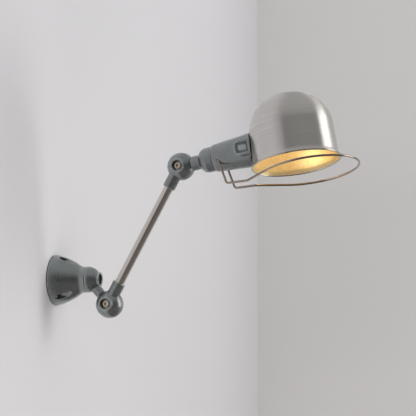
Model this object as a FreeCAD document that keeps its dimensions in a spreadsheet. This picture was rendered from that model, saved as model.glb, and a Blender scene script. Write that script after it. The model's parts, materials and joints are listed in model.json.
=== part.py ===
import FreeCAD, Part
import math
import os
import re

# Articulating wall lamp. The wall face is the plane X = 0, +X points out of the wall, +Z is up.
# The origin is the centre of the base's back face. Sizes are in millimetres, angles in degrees.
# The rest position is the one photographed.

DIMENSIONS = [
    # wall base: a cast bell on three screws
    ("bell_rim_radius", 40.9), ("bell_shoulder_radius", 28.1), ("bell_shoulder_height", 35.6),
    ("bell_waist_radius", 22.2), ("bell_waist_height", 44.4), ("bell_neck_radius", 21.0),
    ("bell_neck_height", 48.5), ("bell_side_arc", 105), ("bell_rim_lip", 2.5), ("bell_wall", 3.4),
    ("swivel_height", 57.0), ("gasket_thick", 1.0), ("gasket_width", 3.2), ("gasket_inset", 0.4),
    ("plate_thick", 2.0), ("plate_clear", 0.4),
    ("pocket_radius", 5.8), ("pocket_floor", 10.0), ("pocket_circle", 33.5), ("pocket_wall", 2.5),
    ("first_pocket_angle", 70.0), ("wall_screw_radius", 2.1), ("wall_screw_hole", 2.4),
    ("wall_screw_head", 4.4), ("wall_screw_head_height", 3.0), ("wall_screw_tip", 0.3),
    ("cable_hole_radius", 8.0), ("cable_hole_drop", 9.0),
    ("terminal_width", 26.0), ("terminal_height", 13.0), ("terminal_depth", 12.0),
    ("terminal_side", 10.0), ("terminal_rise", 13.0), ("terminal_pitch", 8.0),
    ("terminal_hole", 1.8), ("terminal_screw", 1.5), ("earth_screw_radius", 2.0),
    ("earth_screw_side", 21.0), ("earth_screw_head", 3.6), ("earth_screw_head_height", 2.4),
    # the three clamped ball knuckles
    ("swivel_radius", 21.0), ("ball_radius", 22.3), ("parting_gap", 0.3), ("sweep_clear", 0.5),
    ("boss_radius", 11.9), ("boss_height", 20.8), ("recess_radius", 8.3), ("recess_floor", 11.5),
    ("cavity_radius", 16.6), ("cavity_depth", 6.0), ("clamp_radius", 3.0), ("clamp_clear", 0.08),
    ("clamp_head_radius", 5.0), ("clamp_head_height", 6.0), ("clamp_key", 5.0),
    ("clamp_key_depth", 3.2), ("washer_radius", 6.2), ("washer_thick", 1.4), ("nut_across", 10.0),
    ("nut_height", 5.0), ("thread_clear", 0.05), ("thread_end", 1.5), ("run_clear", 0.3),
    ("disc_clear", 0.2), ("disc_thick", 3.5), ("disc_bore", 4.2), ("track_inner", 8.0),
    ("track_outer", 12.6), ("track_width", 2.0), ("track_height", 2.0), ("track_groove", 1.0),
    ("carrier_thick", 4.4), ("brush_radius", 0.8), ("brush_seat", 2.4),
    # link between the swivel and the lower knuckle
    ("link_length", 54.7), ("link_drop_angle", 47.5), ("link_radius", 8.1),
    ("duct_radius", 3.0), ("duct_offset", 3.4), ("duct_start", 9.0), ("wire_radius", 0.9),
    ("wire_spread", 1.1), ("wire_end_clear", 0.5),
    # arm: a steel tube between two socketed half balls
    ("arm_length", 250.0), ("arm_angle", 29.2), ("arm_offset", 6.0), ("arm_tube_radius", 7.5),
    ("arm_tube_wall", 1.2), ("socket_radius", 10.2), ("socket_end", 39.0), ("tube_end", 26.0),
    ("tube_fit", 0.05), ("socket_chamfer", 0.8),
    # neck and rounded rear cap
    ("neck_pitch", 10.7), ("neck_radius", 11.6), ("cap_start", 33.5), ("cap_radius", 20.0),
    ("cap_arc", 15.0), ("cap_band", 11.3), ("cap_end", 57.8), ("cap_wall", 3.2),
    ("cap_hollow", 14.3), ("nipple_radius", 5.0), ("nipple_bore", 3.6), ("nipple_grip", 6.0),
    ("nipple_proud", 2.3), ("roll_nut_across", 14.0), ("roll_nut_height", 5.0),
    ("roll_washer_radius", 9.0), ("roll_washer_thick", 1.2),
    # head: housing, lampholder, bulb
    ("head_roll", 6.5), ("housing_rear_radius", 22.0), ("housing_front_radius", 28.4),
    ("housing_length", 75.9), ("housing_corner", 2.2), ("rear_wall", 3.5), ("chamber_radius", 14.5),
    ("ledge_back", 52.0), ("housing_wall", 3.2),
    ("holder_flange_clear", 0.6), ("holder_flange_thick", 3.0), ("holder_radius", 13.2),
    ("holder_length", 31.0), ("holder_bore", 7.6), ("holder_floor_rise", 6.0), ("shell_wall", 0.5),
    ("shell_length", 18.0), ("contact_radius", 2.2), ("contact_height", 1.8),
    ("holder_screw_radius", 1.5), ("holder_screw_inset", 2.8), ("holder_screw_length", 9.0),
    ("holder_screw_head", 2.6), ("holder_screw_head_height", 2.0),
    ("bulb_cap_radius", 7.0), ("bulb_seat_clear", 0.1), ("bulb_cap_length", 18.1),
    ("bulb_pip_radius", 2.4), ("bulb_pip_height", 1.6), ("bulb_stem_radius", 6.0),
    ("bulb_stem_depth", 2.2), ("bulb_stem_rise", 4.5), ("bulb_shoulder_radius", 11.6),
    ("bulb_shoulder", 14.0), ("bulb_belly_radius", 17.5), ("bulb_belly", 40.0),
    ("bulb_belly_arc", 60.0), ("bulb_taper_arc", 54.8), ("bulb_tip_radius", 4.0),
    ("bulb_tip", 76.0), ("bulb_tip_arc", 5.3), ("glass_clear", 0.1),
    # shade: a spun metal dome, its rim below the head axis
    ("shade_set", 55.8), ("rim_drop", 38.4), ("rim_radius", 71.0), ("rim_lip", 1.6),
    ("skirt_start", 5.2), ("skirt_radius", 68.4), ("crown_radius", 66.5), ("crown_height", 54.9),
    ("dome_height", 60.0), ("dome_side_arc", 58.0), ("shade_wall", 1.0),
    ("lamp_hole_radius", 15.8), ("shade_gasket", 1.4), ("seat_fit", 0.05),
    ("gasket_inner", 17.6), ("gasket_outer", 26.2),
    ("shade_screw_radius", 1.95), ("shade_screw_circle", 20.4), ("shade_screw_length", 16.0),
    ("shade_screw_head", 3.6), ("shade_screw_head_height", 2.2), ("shade_boss_radius", 4.6),
    ("shade_boss_floor", 3.0), ("shade_tap_clear", 1.0), ("screw_seat_clear", 0.4),
    ("shade_hole_clear", 0.15),
    # guard: one bent wire, sprung into two bores of the housing
    ("wire_guard_radius", 1.8), ("guard_drop", 53.9), ("guard_lead", 19.1),
    ("guard_ring_radius", 78.5), ("guard_half_width", 19.6), ("guard_bend_back", 21.2),
    ("guard_bend_drop", 52.6), ("guard_heel_set", 19.5), ("guard_heel_drop", 49.4),
    ("guard_top_set", 10.3), ("guard_top_drop", 6.0), ("guard_bend", 5.0), ("guard_fit", 0.08),
    ("guard_end_clear", 0.5),
    # switch in the housing's side
    ("pad_radius", 13.2), ("pad_height", 28.2), ("pad_back", 22.0),
    ("switch_back", 20.5), ("recess_half_width", 8.6), ("recess_length", 19.0),
    ("recess_depth_height", 24.2), ("bezel_thick", 1.4), ("bezel_clear", 0.15),
    ("switch_half_width", 6.9), ("switch_length", 17.0), ("switch_depth", 6.6),
    ("rocker_half_width", 5.0), ("rocker_length", 13.5), ("rocker_height", 5.0),
    ("rocker_root", 2.4), ("rocker_crown", 5.6), ("rocker_tilt", 7.0), ("rocker_clear", 0.5),
    ("pivot_radius", 1.0), ("pivot_clear", 0.06), ("pivot_reach", 1.0),
]

# Places along the neck and the head, each worked out from the sizes above.
PLACES = {
    "cap_floor": "cap_end - cap_hollow",
    "nipple_start": "cap_floor - nipple_grip",
    "washer_start": "cap_end + run_clear + rear_wall + run_clear",
    "nipple_end": "washer_start + roll_washer_thick + roll_nut_height + nipple_proud",
    "housing_start": "cap_end + run_clear",
    "housing_rear": "housing_start + housing_corner",
    "housing_front": "housing_start + housing_length",
    "housing_taper": "(housing_front_radius - housing_rear_radius) / (housing_front - housing_rear)",
    "ledge_height": "housing_front - ledge_back",
    "ledge_radius": "housing_front_radius - housing_wall - housing_taper * ledge_back",
    "holder_flange": "ledge_radius - holder_flange_clear",
    "holder_screw_circle": "holder_flange - holder_screw_inset",
    "holder_floor": "ledge_height + holder_floor_rise",
    "holder_end": "ledge_height + holder_length",
    "bulb_cap_start": "holder_floor + contact_height + bulb_seat_clear",
    "bulb_cap_end": "bulb_cap_start + bulb_cap_length",
    "shade_reach": "housing_front + shade_set",
    "guard_slope": "(guard_heel_set - guard_top_set) / (guard_heel_drop - guard_top_drop)",
}

doc = FreeCAD.newDocument("wall_lamp")
sheet = doc.addObject("Spreadsheet::Sheet", "Sizes")
for row, (alias, number) in enumerate(DIMENSIONS, start=1):
    sheet.set("A%d" % row, alias)
    sheet.set("B%d" % row, str(number))
    sheet.setAlias("B%d" % row, alias)
doc.recompute()

ALIASES = {alias for alias, number in DIMENSIONS}
pieces = []


def expand(formula):
    """Write a formula in the sheet's own terms, with every place worked out from the sizes."""
    def term(word):
        if word.group(0) in PLACES:
            return "(%s)" % expand(PLACES[word.group(0)])
        return ("Sizes." if word.group(0) in ALIASES else "") + word.group(0)
    return re.sub(r"[a-z][a-z_]*[a-z]", term, formula)


def value(formula):
    """The number that a formula gives."""
    return float(sheet.evalExpression(expand(formula)))


def bind(item, **formulas):
    """Tie an object's properties to formulas of the sheet's sizes."""
    for name, formula in formulas.items():
        item.setExpression(name, expand(formula))


def frame(name, placement):
    """A named local frame that pieces are placed in."""
    item = doc.addObject("App::Placement", name)
    bind(item, Placement=placement)
    return item


def spot(within, x="0", y="0", z="0", axis="0;0;1", turn="0"):
    """The placement formula of a point (x, y, z) of a frame, turned about an axis."""
    return "%s.Placement * placement(vector(%s; %s; %s); rotation(vector(%s); %s))" % (
        within.Name, x, y, z, axis, turn)


def primitive(kind, name, within, place, **sizes):
    """A Part primitive, placed in a frame, with its sizes tied to the sheet."""
    item = doc.addObject("Part::" + kind, name)
    bind(item, Placement=spot(within, **place), **sizes)
    return item


def rod(name, within, radius, length, **place):
    return primitive("Cylinder", name, within, place, Radius=radius, Height=length)


def block(name, within, length, width, height, **place):
    return primitive("Box", name, within, place, Length=length, Width=width, Height=height)


def join(name, *parts):
    item = doc.addObject("Part::MultiFuse", name)
    item.Shapes = list(parts)
    return item


def cut(name, base, *tools):
    """A piece less one or more tools."""
    item = doc.addObject("Part::Cut", name)
    item.Base = base
    item.Tool = tools[0] if len(tools) == 1 else join(name + "_tools", *tools)
    return item


def group(name, *parts):
    """Identical pieces that share a node, as separate solids."""
    item = doc.addObject("Part::Compound", name)
    item.Links = list(parts)
    return item


def keep(item):
    """Mark an object as a finished piece; its label names its file."""
    pieces.append(item)
    return item


def arc_centre(start, end, radius, side):
    """Centre of an arc of a radius between two points, on the left (+1) or right (-1) of travel."""
    across = (end[0] - start[0], end[1] - start[1])
    chord = math.hypot(*across)
    rise = math.sqrt(max(radius * radius - chord * chord / 4, 0))
    return ((start[0] + end[0]) / 2 - side * rise * across[1] / chord,
            (start[1] + end[1]) / 2 + side * rise * across[0] / chord)


def outline_sketch(body, plane, corners):
    """A closed outline. A corner is (x, y), or (x, y, radius, side) where an arc leaves it."""
    sketch = body.newObject("Sketcher::SketchObject", body.Name + "_outline")
    sketch.AttachmentSupport = [(find_plane(body, plane), "")]
    sketch.MapMode = "FlatFace"
    points = [(value(corner[0]), value(corner[1])) for corner in corners]
    ends = []
    for index, corner in enumerate(corners):
        start = points[index]
        end = points[(index + 1) % len(points)]
        if len(corner) == 2:
            sketch.addGeometry(Part.LineSegment(FreeCAD.Vector(*start, 0), FreeCAD.Vector(*end, 0)))
            ends.append((1, 2))
            continue
        radius = value(corner[2])
        centre = arc_centre(start, end, radius, corner[3])
        first, last = (start, end) if corner[3] > 0 else (end, start)
        angles = [math.atan2(point[1] - centre[1], point[0] - centre[0]) for point in (first, last)]
        circle = Part.Circle(FreeCAD.Vector(*centre, 0), FreeCAD.Vector(0, 0, 1), radius)
        sketch.addGeometry(Part.ArcOfCircle(circle, *angles))
        ends.append((1, 2) if corner[3] > 0 else (2, 1))
    import Sketcher
    for index, corner in enumerate(corners):
        following = (index + 1) % len(corners)
        sketch.addConstraint(Sketcher.Constraint(
            "Coincident", index, ends[index][1], following, ends[following][0]))
        for kind, axis, formula, number in (("DistanceX", -2, corner[0], points[index][0]),
                                            ("DistanceY", -1, corner[1], points[index][1])):
            if formula == "0":
                sketch.addConstraint(Sketcher.Constraint("PointOnObject", index, ends[index][0], axis))
                continue
            tie = sketch.addConstraint(Sketcher.Constraint(
                kind, -1, 1, index, ends[index][0], number))
            sketch.setExpression("Constraints[%d]" % tie, expand(formula))
        if len(corner) == 4:
            tie = sketch.addConstraint(Sketcher.Constraint("Radius", index, value(corner[2])))
            sketch.setExpression("Constraints[%d]" % tie, expand(corner[2]))
    return sketch


def find_plane(body, role):
    return next(item for item in body.Origin.OriginFeatures if item.Role == role)


def turned(name, within, corners):
    """A turned piece: an outline of (radius, height) corners spun about the frame's Z axis."""
    body = doc.addObject("PartDesign::Body", name)
    sketch = outline_sketch(body, "XZ_Plane", corners)
    spin = body.newObject("PartDesign::Revolution", name + "_turning")
    spin.Profile = sketch
    spin.ReferenceAxis = (sketch, ["V_Axis"])
    spin.Angle = 360
    body.setExpression("Placement", within.Name + ".Placement")
    return body


# ---- local frames ----
wall = frame("WallFrame", "placement(vector(0; 0; 0); rotation(vector(0;1;0); 90))")
swivel = frame("SwivelFrame", spot(wall, z="swivel_height"))
stem = frame("StemFrame", "placement(vector(swivel_height; 0; 0); "
             "rotation(vector(0;1;0); 90 + link_drop_angle))")
lower = frame("LowerFrame", "placement(vector(swivel_height + link_length * cos(link_drop_angle); 0; "
              "-link_length * sin(link_drop_angle)); rotation(vector(1;0;0); 90))")
arm = frame("ArmFrame", "placement(vector(swivel_height + link_length * cos(link_drop_angle); 0; "
            "-link_length * sin(link_drop_angle)); rotation(vector(0;1;0); arm_angle))")
knee = frame("KneeFrame", spot(arm, z="arm_length", axis="0;1;0", turn="-arm_angle"))
upper = frame("UpperFrame", spot(knee, axis="1;0;0", turn="90"))
neck = frame("NeckFrame", spot(knee, axis="0;1;0", turn="90 - neck_pitch"))
head = frame("HeadFrame", spot(neck, turn="-head_roll"))
shade = frame("ShadeFrame", spot(head, x="rim_drop", z="shade_reach", axis="0;1;0", turn="-90"))
switch = frame("SwitchFrame", spot(head, y="-recess_depth_height",
                                   z="housing_front - switch_back", axis="1;0;0", turn="90"))


# ---- wall base ----
bell_outer = turned("bell_outer", wall, [
    ("0", "gasket_thick"),
    ("bell_rim_radius", "gasket_thick"),
    ("bell_rim_radius", "bell_rim_lip", "bell_side_arc", 1),
    ("bell_shoulder_radius", "bell_shoulder_height"),
    ("bell_waist_radius", "bell_waist_height"),
    ("bell_neck_radius", "bell_neck_height"),
    ("bell_neck_radius", "swivel_height - parting_gap / 2"),
    ("0", "swivel_height - parting_gap / 2"),
])
bell_hollow = turned("bell_hollow", wall, [
    ("0", "0"),
    ("bell_rim_radius - bell_wall", "0"),
    ("bell_rim_radius - bell_wall", "bell_rim_lip", "bell_side_arc - bell_wall", 1),
    ("bell_shoulder_radius - bell_wall", "bell_shoulder_height - bell_wall / 2"),
    ("bell_waist_radius - bell_wall * 1.6", "bell_waist_height - bell_wall"),
    ("bell_waist_radius - bell_wall * 1.6", "swivel_height - recess_floor"),
    ("0", "swivel_height - recess_floor"),
])
pocket_angles = ["180 - first_pocket_angle + %d" % (120 * step) for step in range(3)]


def on_circle(radius, angle):
    """Position formulas of a point of a circle about the wall frame's axis."""
    return {"x": "-%s * sin(%s)" % (radius, angle), "y": "%s * cos(%s)" % (radius, angle)}


bell_bosses = []
bell_pockets = []
bell_holes = []
wall_screws = []
for step, angle in enumerate(pocket_angles):
    at = on_circle("pocket_circle", angle)
    bell_bosses.append(rod("pocket_boss_%d" % step, wall, "pocket_radius + pocket_wall",
                           "swivel_height - plate_thick", z="plate_thick", **at))
    bell_pockets.append(rod("pocket_%d" % step, wall, "pocket_radius",
                            "swivel_height - pocket_floor", z="pocket_floor", **at))
    bell_holes.append(rod("screw_hole_%d" % step, wall, "wall_screw_hole", "swivel_height",
                          z="-1", **at))
    wall_screws.append(join("wall_screw_%d" % step,
                            rod("shank_%d" % step, wall, "wall_screw_radius",
                                "pocket_floor - wall_screw_tip + 1", z="wall_screw_tip", **at),
                            rod("head_%d" % step, wall, "wall_screw_head",
                                "wall_screw_head_height", z="pocket_floor", **at)))
slots = [block("slot_%d" % step, wall, "wall_screw_head * 3", "1.1", "1.4",
               x="-pocket_circle * sin(%s) - wall_screw_head * 1.5" % angle,
               y="pocket_circle * cos(%s) - 0.55" % angle,
               z="pocket_floor + wall_screw_head_height - 1.3")
         for step, angle in enumerate(pocket_angles)]
keep(group("wall_screws", *[cut("slotted_screw_%d" % step, screw, slots[step])
                            for step, screw in enumerate(wall_screws)]))
keep(cut("wall_bell", bell_outer,
         cut("bell_cavity", bell_hollow, *bell_bosses),
         rod("bell_disc_seat", swivel, "cavity_radius", "cavity_depth + 5", z="-cavity_depth"),
         rod("bell_bore", swivel, "clamp_radius + clamp_clear", "recess_floor + cavity_depth",
             z="-recess_floor - 1"),
         rod("bell_duct", swivel, "duct_radius", "recess_floor", x="-cavity_radius + duct_radius + 1",
             z="-recess_floor - 1"),
         *bell_pockets, *bell_holes))
keep(turned("wall_gasket", wall, [
    ("bell_rim_radius - gasket_inset - gasket_width", "0"),
    ("bell_rim_radius - gasket_inset", "0"),
    ("bell_rim_radius - gasket_inset", "gasket_thick"),
    ("bell_rim_radius - gasket_inset - gasket_width", "gasket_thick"),
]))
plate_holes = [rod("plate_hole_%d" % step, wall, "wall_screw_hole", "plate_thick + 2", z="-1",
                   **on_circle("pocket_circle", angle)) for step, angle in enumerate(pocket_angles)]
keep(cut("back_plate",
         rod("plate_disc", wall, "bell_rim_radius - gasket_inset - gasket_width - plate_clear",
             "plate_thick"),
         rod("cable_hole", wall, "cable_hole_radius", "plate_thick + 2", x="cable_hole_drop", z="-1"),
         rod("earth_tap", wall, "earth_screw_radius + thread_clear", "plate_thick + 2",
             y="-earth_screw_side", z="-1"),
         *plate_holes))
keep(cut("earth_screw",
         join("earth_screw_blank",
              rod("earth_shank", wall, "earth_screw_radius", "plate_thick", y="-earth_screw_side",
                  z="wall_screw_tip"),
              rod("earth_head", wall, "earth_screw_head", "earth_screw_head_height",
                  y="-earth_screw_side", z="plate_thick")),
         block("earth_slot", wall, "earth_screw_head * 3", "1", "1", x="-earth_screw_head * 1.5",
               y="-earth_screw_side - 0.5",
               z="plate_thick + earth_screw_head_height - 0.9")))
terminal_holes = []
for step in (-1, 0, 1):
    side = "terminal_side + terminal_pitch * %d" % step
    terminal_holes.append(rod("wire_way_%d" % (step + 1), wall, "terminal_hole",
                              "terminal_height + 2", x="-terminal_rise - terminal_height / 2 - 1",
                              y=side, z="plate_thick + terminal_depth / 2", axis="0;1;0", turn="90"))
    terminal_holes.append(rod("screw_way_%d" % (step + 1), wall, "terminal_screw",
                              "terminal_depth / 2 + 1", x="-terminal_rise", y=side,
                              z="plate_thick + terminal_depth / 2"))
keep(cut("terminal_block",
         block("terminal_body", wall, "terminal_height", "terminal_width", "terminal_depth",
               x="-terminal_rise - terminal_height / 2", y="terminal_side - terminal_width / 2",
               z="plate_thick"),
         *terminal_holes))


# ---- ball knuckles ----
def half_ball(name, within, radius, sign):
    """One cast half of a knuckle: a hollow half ball with a bored floor and a recessed boss."""
    rim = "sqrt(pow(%s; 2) - pow(parting_gap / 2; 2))" % radius
    boss = "sqrt(pow(%s; 2) - pow(boss_radius; 2))" % radius
    way = "" if sign > 0 else "-"
    return turned(name, within, [
        ("cavity_radius", way + "parting_gap / 2"),
        (rim, way + "parting_gap / 2", radius, sign),
        ("boss_radius", way + boss),
        ("boss_radius", way + "boss_height"),
        ("recess_radius", way + "boss_height"),
        ("recess_radius", way + "recess_floor"),
        ("clamp_radius + clamp_clear", way + "recess_floor"),
        ("clamp_radius + clamp_clear", way + "cavity_depth"),
        ("cavity_radius", way + "cavity_depth"),
    ])


def knuckle_hollows(name, within, sign):
    """The spaces that a socket or stem must leave open inside its own half ball."""
    flip = {"axis": "1;0;0", "turn": "0" if sign > 0 else "180"}
    return [rod(name + "_cavity", within, "cavity_radius", "cavity_depth", **flip),
            rod(name + "_recess", within, "recess_radius", "boss_height",
                z="recess_floor" if sign > 0 else "-recess_floor", **flip),
            rod(name + "_bore", within, "clamp_radius + clamp_clear", "boss_height", **flip)]


def other_half(name, within, radius, sign):
    """The room that the opposite half ball sweeps: a half ball with running clearance."""
    item = primitive("Sphere", name, within, {
        "z": "parting_gap / 2" if sign > 0 else "-parting_gap / 2",
        "axis": "1;0;0", "turn": "0" if sign > 0 else "180"}, Radius=radius + " + sweep_clear")
    item.Angle1 = -90
    item.Angle2 = 0
    return item


def clamp_fittings(tag, within):
    """The clamp screw, nut and spring washer, the contact disc with its tracks, and the brushes."""
    tip = "-(recess_floor + washer_thick + nut_height + thread_end)"
    screw = turned("clamp_screw_blank_" + tag, within, [
        ("0", tip),
        ("clamp_radius", tip),
        ("clamp_radius", "recess_floor"),
        ("clamp_head_radius", "recess_floor"),
        ("clamp_head_radius", "recess_floor + clamp_head_height"),
        ("0", "recess_floor + clamp_head_height"),
    ])
    key = primitive("Prism", "clamp_key_" + tag, within,
                    {"z": "recess_floor + clamp_head_height - clamp_key_depth"},
                    Circumradius="clamp_key / sqrt(3)", Height="clamp_key_depth + 1")
    key.Polygon = 6
    keep(cut("clamp_screw_" + tag, screw, key))
    keep(turned("spring_washer_" + tag, within, [
        ("clamp_radius + thread_clear", "-recess_floor - washer_thick"),
        ("washer_radius", "-recess_floor - washer_thick / 2"),
        ("washer_radius", "-recess_floor"),
        ("clamp_radius + thread_clear", "-recess_floor - washer_thick / 2"),
    ]))
    nut = primitive("Prism", "nut_blank_" + tag, within,
                    {"z": "-recess_floor - washer_thick - nut_height"},
                    Circumradius="nut_across / sqrt(3)", Height="nut_height")
    nut.Polygon = 6
    keep(cut("clamp_nut_" + tag, nut,
             rod("nut_bore_" + tag, within, "clamp_radius + thread_clear", "nut_height + 2",
                 z="-recess_floor - washer_thick - nut_height - 1")))
    top = "disc_thick - cavity_depth"
    floor = "disc_thick - cavity_depth - track_groove"
    keep(turned("contact_disc_" + tag, within, [
        ("disc_bore", "-cavity_depth"),
        ("cavity_radius - disc_clear", "-cavity_depth"),
        ("cavity_radius - disc_clear", top),
        ("track_outer + track_width", top),
        ("track_outer + track_width", floor),
        ("track_outer", floor),
        ("track_outer", top),
        ("track_inner + track_width", top),
        ("track_inner + track_width", floor),
        ("track_inner", floor),
        ("track_inner", top),
        ("disc_bore", top),
    ]))
    tracks = []
    brushes = []
    seats = []
    for inner, word in (("track_inner", "inner"), ("track_outer", "outer")):
        tracks.append(turned("%s_track_%s" % (word, tag), within, [
            (inner + " + thread_clear", floor),
            (inner + " + track_width - thread_clear", floor),
            (inner + " + track_width - thread_clear", floor + " + track_height"),
            (inner + " + thread_clear", floor + " + track_height"),
        ]))
        at = {"y": inner + " + track_width / 2"}
        brushes.append(rod("%s_brush_%s" % (word, tag), within, "brush_radius",
                           "cavity_depth - carrier_thick + brush_seat - run_clear"
                           " - (%s + track_height)" % floor,
                           z=floor + " + track_height + run_clear", **at))
        seats.append(rod("%s_seat_%s" % (word, tag), within, "brush_radius + thread_clear",
                         "brush_seat + 1", z="cavity_depth - carrier_thick - 1", **at))
    keep(group("contact_tracks_" + tag, *tracks))
    keep(group("contact_brushes_" + tag, *brushes))
    keep(cut("brush_carrier_" + tag, turned("carrier_blank_" + tag, within, [
        ("disc_bore", "cavity_depth - carrier_thick"),
        ("cavity_radius - disc_clear", "cavity_depth - carrier_thick"),
        ("cavity_radius - disc_clear", "cavity_depth"),
        ("disc_bore", "cavity_depth"),
    ]), *seats))


for tag, within in (("base", swivel), ("lower", lower), ("upper", upper)):
    clamp_fittings(tag, within)


def wire_pair(name, within, start, end, y, x="0"):
    """Two conductors side by side, running straight along a frame's Z axis."""
    return keep(group(name, *[
        rod("%s_%d" % (name, step), within, "wire_radius", "(%s) - (%s)" % (end, start),
            x="%s + wire_spread * %d" % (x, step), y=y, z=start) for step in (-1, 1)]))


# ---- link: swivel half ball, stem and the far half of the lower knuckle, in one casting ----
link_stem = cut("link_stem", rod("stem_rod", stem, "link_radius", "link_length"),
                rod("neck_room", swivel, "swivel_radius + 4", "swivel_radius * 2",
                    z="parting_gap / 2 - swivel_radius * 2"),
                other_half("arm_room", lower, "ball_radius", -1))
keep(cut("link_casting",
         join("link_body", half_ball("swivel_half", swivel, "swivel_radius", 1),
              half_ball("lower_far_half", lower, "ball_radius", -1), link_stem),
         rod("link_duct", stem, "duct_radius", "link_length - duct_start - cavity_radius + 2",
             y="duct_offset", z="duct_start"),
         *knuckle_hollows("swivel_near", swivel, 1), *knuckle_hollows("lower_far", lower, -1)))
wire_pair("base_wires", wall, "plate_thick + terminal_depth + thread_clear",
          "swivel_height - cavity_depth - wire_end_clear", "0", "duct_radius + 1 - cavity_radius")
wire_pair("link_wires", stem, "duct_start + 3", "link_length - cavity_radius - wire_end_clear",
          "duct_offset")


# ---- arm: two socketed half balls and the tube between them ----
def arm_end(tag, within, start, bore_start, duct_start):
    """A near half ball with the socket that holds one end of the arm tube."""
    socket = cut(tag + "_socket_trimmed",
                 rod(tag + "_socket_rod", arm, "socket_radius", "socket_end", y="-arm_offset", z=start),
                 other_half(tag + "_far_room", within, "ball_radius", 1))
    keep(cut(tag + "_socket",
             join(tag + "_socket_body", half_ball(tag + "_near_half", within, "ball_radius", 1),
                  socket),
             rod(tag + "_tube_bore", arm, "arm_tube_radius + tube_fit", "socket_end - tube_end + 1",
                 y="-arm_offset", z=bore_start),
             rod(tag + "_duct", arm, "duct_radius", "tube_end - duct_start + 2", y="-arm_offset",
                 z=duct_start),
             *knuckle_hollows(tag + "_near", within, 1)))


arm_end("lower", lower, "0", "tube_end", "duct_start + 3")
arm_end("upper", upper, "arm_length - socket_end", "arm_length - socket_end - 1",
        "arm_length - tube_end - 1")
keep(cut("arm_tube",
         rod("tube_blank", arm, "arm_tube_radius", "arm_length - 2 * tube_end",
             y="-arm_offset", z="tube_end"),
         rod("tube_inside", arm, "arm_tube_radius - arm_tube_wall", "arm_length",
             y="-arm_offset", z="0")))
wire_pair("arm_wires", arm, "cavity_radius + wire_end_clear",
          "arm_length - cavity_radius - wire_end_clear", "-arm_offset")


# ---- neck and rear cap: far half of the upper knuckle, in one casting ----
neck_outer = turned("neck_outer", neck, [
    ("0", "0"),
    ("neck_radius", "0"),
    ("neck_radius", "cap_start", "cap_arc", 1),
    ("cap_radius", "cap_end - cap_band"),
    ("cap_radius", "cap_end"),
    ("0", "cap_end"),
])
keep(cut("rear_cap",
         join("cap_body", half_ball("upper_far_half", upper, "ball_radius", -1),
              cut("neck_trimmed", neck_outer, other_half("knee_room", upper, "ball_radius", -1))),
         rod("cap_hollow", neck, "cap_radius - cap_wall", "cap_hollow + 1", z="cap_floor"),
         rod("nipple_seat", neck, "nipple_radius + thread_clear", "nipple_grip + 1",
             z="nipple_start"),
         rod("neck_duct", neck, "duct_radius", "nipple_start - cavity_radius + 4",
             y="duct_offset", z="cavity_radius - 3"),
         *knuckle_hollows("upper_far", upper, -1)))
keep(cut("roll_nipple",
         rod("nipple_blank", neck, "nipple_radius", "nipple_end - nipple_start",
             z="nipple_start"),
         rod("nipple_hole", neck, "nipple_bore", "nipple_end")))
keep(turned("roll_washer", neck, [
    ("nipple_radius + thread_clear", "washer_start"),
    ("roll_washer_radius", "washer_start"),
    ("roll_washer_radius", "washer_start + roll_washer_thick"),
    ("nipple_radius + thread_clear", "washer_start + roll_washer_thick"),
]))
roll_nut = primitive("Prism", "roll_nut_blank", neck, {"z": "washer_start + roll_washer_thick"},
                     Circumradius="roll_nut_across / sqrt(3)", Height="roll_nut_height")
roll_nut.Polygon = 6
keep(cut("roll_nut", roll_nut, rod("roll_nut_bore", neck, "nipple_radius + thread_clear",
                                   "nipple_end", z="cap_end")))
wire_pair("neck_wires", neck, "cavity_radius + wire_end_clear", "ledge_height - 1.5", "2.3")


# ---- shade ----
def dome_outline(grow):
    """Outer corners of the shade from the rim up, every surface moved outwards by a distance."""
    side = "(dome_side_arc + %s)" % grow
    offset = "(crown_radius - dome_side_arc)"
    top_plain = "((pow(%s; 2) + pow(dome_height; 2) - pow(dome_side_arc; 2))" \
                " / (2 * (dome_height - dome_side_arc)))" % offset
    top = "(%s + %s)" % (top_plain, grow)
    ratio = "(%s / (%s - %s))" % (top, top, side)
    top_centre = "(crown_height + dome_height - %s)" % top_plain
    return [
        ("rim_radius + %s" % grow, "rim_lip"),
        ("skirt_radius + %s" % grow, "skirt_start"),
        ("crown_radius + %s" % grow, "crown_height", side, 1),
        ("%s * %s" % (offset, ratio),
         "%s + (crown_height - %s) * %s" % (top_centre, top_centre, ratio), top, 1),
        ("0", "%s + %s" % (top_centre, top)),
    ]


def dome_solid(name, grow):
    """The full shape that the shade's outside encloses, moved outwards by a distance."""
    return turned(name, shade, [("0", "0"), ("rim_radius + %s" % grow, "0")] + dome_outline(grow))


def lengthwise(name, radius, **place):
    """A hole along the head's axis, through the side of the shade that meets the housing."""
    return rod(name, head, radius, "crown_radius", z="shade_reach - crown_radius * 1.5",
               **place)


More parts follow.
